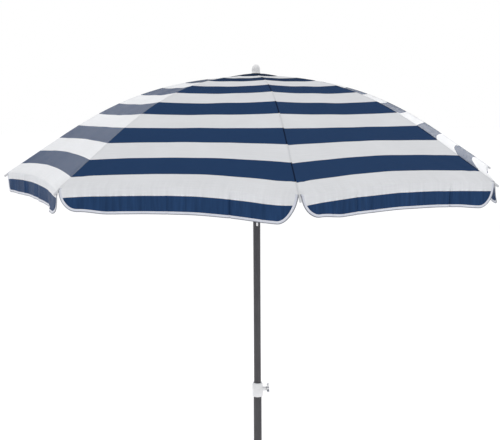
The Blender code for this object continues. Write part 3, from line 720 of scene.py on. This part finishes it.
def plastic_material(name, colour, shadow, rough):
    """Moulded plastic: spark-eroded grain, faint flow marks and scuffs."""
    n = Nodes(name)
    position, _, _, _ = n.coordinates()
    flow = n.noise(n.stretched(position, (30.0, 30.0, 90.0)), 1.0, 2.0)
    grain = n.noise(position, 1800.0, 2.0)
    tone = n.mix(n.span(flow, 0.30, 0.70), shadow, colour)
    scuffs = n.span(n.noise(position, 240.0, 5.0, 0.7), 0.68, 0.76, 0.0, 0.5)
    tone = n.mix(scuffs, tone, shadow)
    level = n.span(grain, 0.3, 0.7, rough - 0.05, rough + 0.07)
    n.finish(Base_Color=tone, Roughness=level, Normal=n.bump(grain, 0.00006, 0.5))
    n.shader.inputs["Specular IOR Level"].default_value = 0.45
    return n.mat


# ---------------------------------------------------------------- canopy
COLUMN_STEPS = (
    0.0, 0.0015, 0.003, 0.0034, 0.004, 0.005, 0.007, 0.0095,
    0.0125, 0.016, 0.020, 0.025, 0.031, 0.038, 0.046, 0.055,
)
CREASE_STEPS = (-2.5, -1.2, -0.5, 0.0, 0.5, 1.2, 2.5)
WIDE_COLUMNS = 18
CANOPY_ROWS = 72
VALANCE_ROWS = (
    0.02, 0.04, 0.06, 0.09, 0.14, 0.20, 0.28, 0.36,
    0.45, 0.54, 0.63, 0.72, 0.80, 0.88, 0.95, 1.0,
)
NOTCH_SAMPLES = 40
BOTTOM_SAMPLES = 110
SEAM_SAMPLES = 120


def half_columns(panel, after):
    """Columns of a panel's half as distances from its rib in shares, closer beside each crease."""
    fine = np.array(COLUMN_STEPS)
    wide = np.linspace(fine[-1], HEM_HALF, WIDE_COLUMNS + 1)[1:]
    columns = [np.concatenate([fine, wide]) / HEM_HALF]
    for place_across, _ in CREASES[panel]:
        if (place_across < 0.0) == after:
            steps = np.array(CREASE_STEPS) * CREASE_WIDTH / HEM_HALF
            columns.append(1.0 - abs(place_across) + steps)
    return np.unique(np.clip(np.concatenate(columns), 0.0, 1.0).round(5))


def gore_lines():
    """Rows of the canopy, negative, denser at the crown and the hem."""
    t = np.linspace(0.0, 1.0, CANOPY_ROWS)
    even = 0.75 * t + 0.25 * smooth(t)
    return -(RIB_LENGTH + PIVOT_RADIUS - BORE) * (1.0 - even)


def gore_half(k, after):
    """Points and UV of the cloth on one side of rib k, from the rib outwards."""
    panel = panel_beside(k, after)
    away = half_columns(panel, after)
    share = -1.0 + away if after else 1.0 - away
    rows = gore_lines()
    hang = np.array(VALANCE_ROWS)[:, None] * valance_length(panel, share)[None, :]
    down = np.concatenate([np.repeat(rows[:, None], len(share), 1), hang])
    down = corner_cut(share[None, :], down)
    points = cloth(panel, share[None, :], down)
    out, _, _ = rib_line(RIB_LENGTH + np.minimum(down, 0.0))
    width = (PIVOT_RADIUS + out) * math.sin(HALF_PANEL)
    return points, np.stack([share[None, :] * width, STRIPE_SHIFTS[panel] - down], -1)


def build_gore(k, mat):
    """The cloth that hangs on rib k, out to the middle of the panels beside it."""
    before, before_uv = gore_half(k, False)
    after, after_uv = gore_half(k, True)
    left = grid_object("left", before[:, ::-1], before_uv[:, ::-1], [mat])
    right = grid_object("right", after, after_uv, [mat])
    obj = tidy_mesh(join(f"canopy_cloth_{k}", [left, right]), merge=2e-5)
    bm = bmesh.new()
    bm.from_mesh(obj.data)
    if sum(face.normal.z * face.calc_area() for face in bm.faces) < 0.0:
        bmesh.ops.reverse_faces(bm, faces=bm.faces)
    area = sum(face.calc_area() for face in bm.faces)
    bm.to_mesh(obj.data)
    bm.free()
    solid = obj.modifiers.new("thickness", "SOLIDIFY")
    solid.thickness = CLOTH_THICKNESS
    solid.offset = 0.0
    apply_modifiers(obj)
    obj.data.shade_smooth()
    obj.data.set_sharp_from_angle(angle=math.radians(60.0))
    return obj, area


def tape(name, panel, share, down, across, mat):
    """A flat tape on the cloth.

    share and down give its path, across the direction to its inner edge as
    (share, down) for each point.  Its section is a flat loop with round edges.
    """
    section = [
        (1.0, 0.35), (0.97, 0.9), (0.5, 1.0), (0.08, 1.0), (-0.05, 0.6), (-0.08, 0.0),
        (-0.05, -0.6), (0.08, -1.0), (0.5, -1.0), (0.97, -0.9), (1.0, -0.35),
    ]
    points = np.zeros((len(share), len(section), 3))
    uv = np.zeros((len(share), len(section), 2))
    line = cloth(panel, share, down)
    run = np.concatenate([[0.0], np.cumsum(np.linalg.norm(np.diff(line, axis=0), axis=1))])
    for column, (inwards, up) in enumerate(section):
        at_share = share + across[0] * BINDING_WIDTH * inwards
        at_down = down + across[1] * BINDING_WIDTH * inwards
        at_share = np.clip(at_share, -1.0 + 1e-4, 1.0 - 1e-4)
        normal = cloth_normal(panel, at_share, at_down)
        points[:, column] = cloth(panel, at_share, at_down) + normal * (BINDING_HALF * up)
        uv[:, column, 0] = run
        uv[:, column, 1] = np.maximum(inwards, 0.0) * BINDING_WIDTH
    return tidy_mesh(grid_object(name, points, uv, [mat], closed=True, caps=True), sharp=50.0)


def binding_half(k, after, mat):
    """Tape over the valance's edge, from the middle of a panel up the notch to the tip."""
    panel = panel_beside(k, after)
    notch = NOTCH_GAP + NOTCH_REACH * np.sin(np.linspace(0.0, 1.0, NOTCH_SAMPLES) * math.pi / 2.0) ** 2
    bottom = np.linspace(NOTCH_GAP + NOTCH_REACH, HEM_HALF, BOTTOM_SAMPLES)[1:]
    x = np.concatenate([notch, bottom])
    share = x / HEM_HALF - 1.0
    if not after:
        share = -share
    down = corner_cut(share, valance_length(panel, share))
    step_x, step_down = np.gradient(x), np.gradient(down)
    size = np.hypot(step_x, step_down)
    sign = 1.0 if after else -1.0
    across = (sign * step_down / size / HEM_HALF, -step_x / size)
    return tape("binding", panel, share, down, across, mat)


def seam_strip(k, mat):
    """Felled seam that joins two panels, just before rib k."""
    panel = panel_beside(k, False)
    along = np.linspace(0.035, RIB_LENGTH - 0.006, SEAM_SAMPLES)
    out, _, _ = rib_line(along)
    part = (PIVOT_RADIUS + out) / OPEN_RADIUS
    section = [(0.0, 0.2), (0.04, 0.8), (0.2, 1.0), (0.5, 0.85), (0.8, 1.0), (0.96, 0.8), (1.0, 0.2)]
    section += [(1.0, -0.3), (0.0, -0.3)]
    points = np.zeros((len(along), len(section), 3))
    uv = np.zeros((len(along), len(section), 2))
    down = along - RIB_LENGTH
    for column, (beside, up) in enumerate(section):
        x = 0.0003 + SEAM_WIDTH * beside
        share = 1.0 - x / part / HEM_HALF
        normal = cloth_normal(panel, share - 1e-3, down)
        points[:, column] = cloth(panel, share, down) + normal * (SEAM_HEIGHT * up)
        uv[:, column, 0] = SEAM_WIDTH * beside
        uv[:, column, 1] = STRIPE_SHIFTS[panel] - down
    obj = grid_object(f"canopy_seam_{k}", points, uv, [mat], closed=True, caps=True)
    return tidy_mesh(obj, sharp=50.0)


def fold_with_rib(obj):
    """Gives the cloth its own copy of its mesh."""
    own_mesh(obj)


def build_canopy():
    striped_cloth = cloth_material("striped_cloth")
    seam_cloth = cloth_material("seam_cloth", seam=True)
    tape_edge = binding_material()
    for k in range(1, RIB_COUNT + 1):
        gore, area = build_gore(k, striped_cloth)
        finish_piece(gore, f"rib_{k}", [f"canopy_{k}"])
        halves = [binding_half(k, False, tape_edge), binding_half(k, True, tape_edge)]
        binding = join(f"canopy_binding_{k}", halves)
        tidy_mesh(binding, merge=1e-7, sharp=50.0)
        seam = seam_strip(k, seam_cloth)
        for obj in (binding, seam):
            finish_piece(obj, f"rib_{k}")
        for obj in (gore, binding, seam):
            fold_with_rib(obj)


# ---------------------------------------------------------------- frame of rods
def rib_section(distance, half_width, half_height):
    """Section of rib 1 at a distance from its hinge."""
    out, up, slope = (float(value) for value in rib_line(distance))
    point = (0.0, -(PIVOT_RADIUS + out), CROWN_HEIGHT + up)
    tangent = (0.0, -math.cos(slope), -math.sin(slope))
    normal = (0.0, -math.sin(slope), math.cos(slope))
    return point, tangent, normal, half_width, half_height


def straight_section(start, end, distance, half_width, half_height):
    tangent = (Vector(end) - Vector(start)).normalized()
    normal = tangent.cross(Vector((1.0, 0.0, 0.0)))
    return Vector(start) + tangent * distance, tangent, normal, half_width, half_height


def build_rods(steel, plastic, tape_mat):
    blade, high = 0.0012, 0.0033   # half thickness and half height of the flattened ends
    ends = [
        (-0.0032, 0.0008, 0.0012), (-0.0024, blade, 0.0025), (-0.0010, blade, high),
        (0.0100, blade, high), (0.0160, 0.0019, 0.0030), (0.0240, RIB_RADIUS, RIB_RADIUS),
    ]
    sections = [rib_section(*entry) for entry in ends]
    for distance in np.linspace(0.032, RIB_LENGTH + 0.006, 60):
        sections.append(rib_section(distance, RIB_RADIUS, RIB_RADIUS))
    rib = rod("rib_rod", sections, steel)

    start = Vector(STRETCHER_HINGE)
    end = Vector((0.0, RUNNER_HINGE[1], RUNNER_HEIGHT))
    length = (end - start).length
    entries = [
        (-0.0032, 0.0008, 0.0013), (-0.0024, blade, 0.0026), (0.0, blade, high),
        (0.0110, blade, high), (0.0180, 0.0020, 0.0030), (0.0270, STRETCHER_RADIUS, STRETCHER_RADIUS),
    ]
    both = entries + [(length - d, w, h) for d, w, h in reversed(entries)]
    stretcher = rod("stretcher_rod", [straight_section(start, end, *entry) for entry in both], steel)

    cap = tip_cap(plastic)
    pocket = tip_pocket(tape_mat)
    ties = cloth_ties(tape_mat)
    for k in range(1, RIB_COUNT + 1):
        for obj, name, body, slot_name, nodes in (
            (rib, f"rib_rod_{k}", f"rib_{k}", "rod_steel", [f"rib_{k}"]),
            (stretcher, f"stretcher_rod_{k}", f"stretcher_{k}", "rod_steel", [f"stretcher_{k}"]),
            (cap, f"tip_cap_{k}", f"rib_{k}", "tip_plastic", [f"rib_tip_{k}"]),
            (pocket, f"tip_pocket_{k}", f"rib_{k}", "cloth", []),
            (ties, f"cloth_ties_{k}", f"rib_{k}", "cloth", []),
        ):
            copy = link(bpy.data.objects.new(name, obj.data.copy()))
            copy.data.transform(around(k))
            finish_piece(copy, body, nodes)
    for obj in (rib, stretcher, cap, pocket, ties):
        bpy.data.objects.remove(obj, do_unlink=True)


def along_rib_matrix(distance):
    """Frame at a distance along rib 1: Z along the rib, outwards, and X to the side."""
    point, tangent, normal, _, _ = rib_section(distance, 0.0, 0.0)
    side = Vector(tangent).cross(Vector(normal))
    matrix = Matrix((side, Vector(normal), Vector(tangent))).transposed().to_4x4()
    return Matrix.Translation(point) @ matrix


def tip_cap(mat):
    """Moulded cap: a collar against the cloth, a neck and a round nose."""
    collar, neck, nose = -CORNER_CUT + 0.0004, 0.0120, TIP_REACH - 0.0045
    profile = [
        (0.0, collar), (0.0031, collar), (0.0040, collar + 0.0002), (0.0043, collar + 0.0010),
        (0.0043, collar + 0.0026), (0.0039, collar + 0.0034), (0.0036, collar + 0.0040), (0.0036, neck),
    ]
    for i in range(7):
        angle = math.pi / 2.0 * i / 6.0
        profile.append((0.0040 * math.cos(angle), nose + (TIP_REACH - nose) * math.sin(angle)))
    profile.append((0.0, TIP_REACH))
    return turned("tip_cap", profile, mat, 32, along_rib_matrix(RIB_LENGTH))


def tip_pocket(mat):
    """Pocket of tape that holds the rib's end under the cloth's corner."""
    profile = [
        (0.0030, -0.034), (0.0036, -0.0335), (0.0037, -0.030), (0.0038, -0.012), (0.0037, -0.002),
        (0.0032, -0.0012), (0.0028, -0.0020), (0.0028, -0.034),
    ]
    profile.append(profile[0])
    return turned("tip_pocket", profile, mat, 24, along_rib_matrix(RIB_LENGTH), sharp=50.0)


def cloth_ties(mat):
    """Short bands that tie the cloth to the rib, three between the crown and the tip."""
    bands = []
    ring = [
        (0.0027, -0.004), (0.0033, -0.004), (0.0036, -0.002),
        (0.0036, 0.002), (0.0033, 0.004), (0.0027, 0.004),
    ]
    ring.append(ring[0])
    for distance in (0.27, 0.66, 0.83):
        bands.append(turned("tie", ring, mat, 24, along_rib_matrix(distance), sharp=50.0))
    return join("cloth_ties", bands)


# ---------------------------------------------------------------- pole, finial and small parts
NODE_SHARP = math.radians(30.0)
FINIAL_RADIUS = 0.0156
FINIAL_SHOULDER = 0.0150       # where the finial's dome starts
FINIAL_STEPS = 14
FLUTE_COUNT = 8
FLUTE_DEPTH = 0.13             # share of the radius


def finish_node(node, mat, bevel):
    """A CAD node with softened edges and its own material."""
    obj = frame["nodes"][node]
    obj.data.materials.clear()
    obj.data.materials.append(mat)
    weld = obj.modifiers.new("weld", "WELD")
    weld.merge_threshold = 0.00001
    edge = obj.modifiers.new("edge", "BEVEL")
    edge.width = bevel
    edge.segments = 2
    edge.limit_method = "ANGLE"
    edge.angle_limit = NODE_SHARP
    edge.harden_normals = False
    obj.data.shade_smooth()
    split = obj.modifiers.new("split", "EDGE_SPLIT")
    split.split_angle = NODE_SHARP


def fluted_finial(mat):
    """Moulded dome with soft flutes over a small collar."""
    low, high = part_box("finial")
    radius, foot, dome = FINIAL_RADIUS, low.z, high.z - low.z - FINIAL_SHOULDER
    profile = [
        (0.0, 0.0), (radius * 1.09, 0.0), (radius * 1.12, 0.0006), (radius * 1.12, 0.0024),
        (radius * 1.06, 0.0031), (radius, 0.0038), (radius, 0.0100), (radius, FINIAL_SHOULDER),
    ]
    for i in range(1, FINIAL_STEPS):
        angle = math.pi / 2.0 * i / FINIAL_STEPS
        profile.append((radius * math.cos(angle) ** 0.9, FINIAL_SHOULDER + dome * math.sin(angle)))
    profile.append((0.0, FINIAL_SHOULDER + dome))
    profile = [(r, foot + z) for r, z in profile]

    def flutes(angles, z):
        depth = FLUTE_DEPTH * smooth((z - foot - 0.0038) / 0.003) * (1.0 - smooth((z - foot - 0.027) / 0.006))
        return 1.0 - depth * (0.5 - 0.5 * np.cos(FLUTE_COUNT * angles)) ** 2

    return turned("finial_dome", profile, mat, 120, shape=flutes, sharp=50.0)


def build_small_parts(paint, rod_steel, bright, plastic, tip_plastic):
    finish_piece(fluted_finial(plastic), "upper_pole", ["finial"])
    for node in ("upper_pole", "lower_pole"):
        finish_node(node, paint, 0.0002)
    for node in ("pole_button", "clamp_screw"):
        finish_node(node, bright, 0.0004)
    for node in ("crown_hub", "runner", "clamp_collar"):
        finish_node(node, plastic, 0.0004)
    finish_node("sand_point", tip_plastic, 0.0004)
    for node in ("crown_wire", "runner_wire"):
        finish_node(node, rod_steel, 0.0001)
    for k in range(1, RIB_COUNT + 1):
        finish_node(f"rib_bracket_{k}", rod_steel, 0.0002)


# ---------------------------------------------------------------- stage, light and camera
CAMERA_DISTANCE = 2.812        # from the pole's axis
CAMERA_HEIGHT = 1.846
CAMERA_AZIMUTH = math.radians(-6.98)
CAMERA_PITCH = math.radians(-8.51)
CAMERA_YAW = math.radians(0.526)
CAMERA_ROLL = math.radians(-0.374)
CAMERA_LENS = 52.98


def build_camera():
    data = bpy.data.cameras.new("camera")
    data.lens = CAMERA_LENS
    data.sensor_width = 36.0
    data.clip_end = 200.0
    camera = link(bpy.data.objects.new("camera", data))
    spot = Vector((math.sin(CAMERA_AZIMUTH), -math.cos(CAMERA_AZIMUTH), 0.0)) * CAMERA_DISTANCE
    spot.z = CAMERA_HEIGHT
    heading = Matrix.Rotation(CAMERA_AZIMUTH + CAMERA_YAW, 4, "Z")
    tilt = Matrix.Rotation(math.pi / 2.0 + CAMERA_PITCH, 4, "X")
    roll = Matrix.Rotation(CAMERA_ROLL, 4, "Z")
    camera.matrix_world = Matrix.Translation(spot) @ heading @ tilt @ roll
    bpy.context.scene.camera = camera


def build_stage():
    mesh = bpy.data.meshes.new("studio_floor")
    reach = 60.0
    corners = [(-reach, -reach, 0.0), (reach, -reach, 0.0), (reach, reach, 0.0), (-reach, reach, 0.0)]
    mesh.from_pydata(corners, [], [(0, 1, 2, 3)])
    n = Nodes("studio_floor")
    n.finish(Base_Color=(0.86, 0.86, 0.87), Roughness=0.9)
    n.shader.inputs["Emission Color"].default_value = (1.0, 1.0, 1.0, 1.0)
    n.shader.inputs["Emission Strength"].default_value = 0.16
    mesh.materials.append(n.mat)
    link(bpy.data.objects.new("studio_floor", mesh))


def build_light():
    world = bpy.data.worlds.new("studio")
    bpy.context.scene.world = world
    world.use_nodes = True
    background = world.node_tree.nodes["Background"]
    background.inputs["Color"].default_value = (1.0, 1.0, 1.0, 1.0)
    background.inputs["Strength"].default_value = 1.0
    aim = Vector((0.0, 0.0, 1.6))
    for name, spot, size, power in (
        ("left_light", (-2.2, 4.2, 3.6), 2.0, 56.0),
        ("right_light", (3.60, 4.90, 2.3), 2.0, 24.0),
    ):
        data = bpy.data.lights.new(name, "AREA")
        data.shape = "DISK"
        data.size = size
        data.energy = power
        light = link(bpy.data.objects.new(name, data))
        light.location = spot
        light.visible_camera = False
        light.rotation_euler = (aim - Vector(spot)).to_track_quat("-Z", "Y").to_euler()
    view = bpy.context.scene.view_settings
    view.view_transform = "Standard"
    view.look = "None"


def main():
    build_camera()
    build_stage()
    build_light()
    paint = paint_material()
    rod_steel = steel_material("rod_steel", (0.58, 0.59, 0.61), (0.40, 0.40, 0.42), 0.34, (400.0, 30.0, 30.0))
    bright = steel_material("bright_steel", (0.72, 0.72, 0.73), (0.58, 0.58, 0.59), 0.16, (90.0, 90.0, 300.0))
    plastic = plastic_material("white_plastic", (0.83, 0.83, 0.84), (0.74, 0.74, 0.75), 0.42)
    tip_plastic = plastic_material("tip_plastic", (0.58, 0.59, 0.61), (0.48, 0.49, 0.51), 0.48)
    build_canopy()
    build_rods(rod_steel, tip_plastic, tape_material())
    build_small_parts(paint, rod_steel, bright, plastic, tip_plastic)


main()
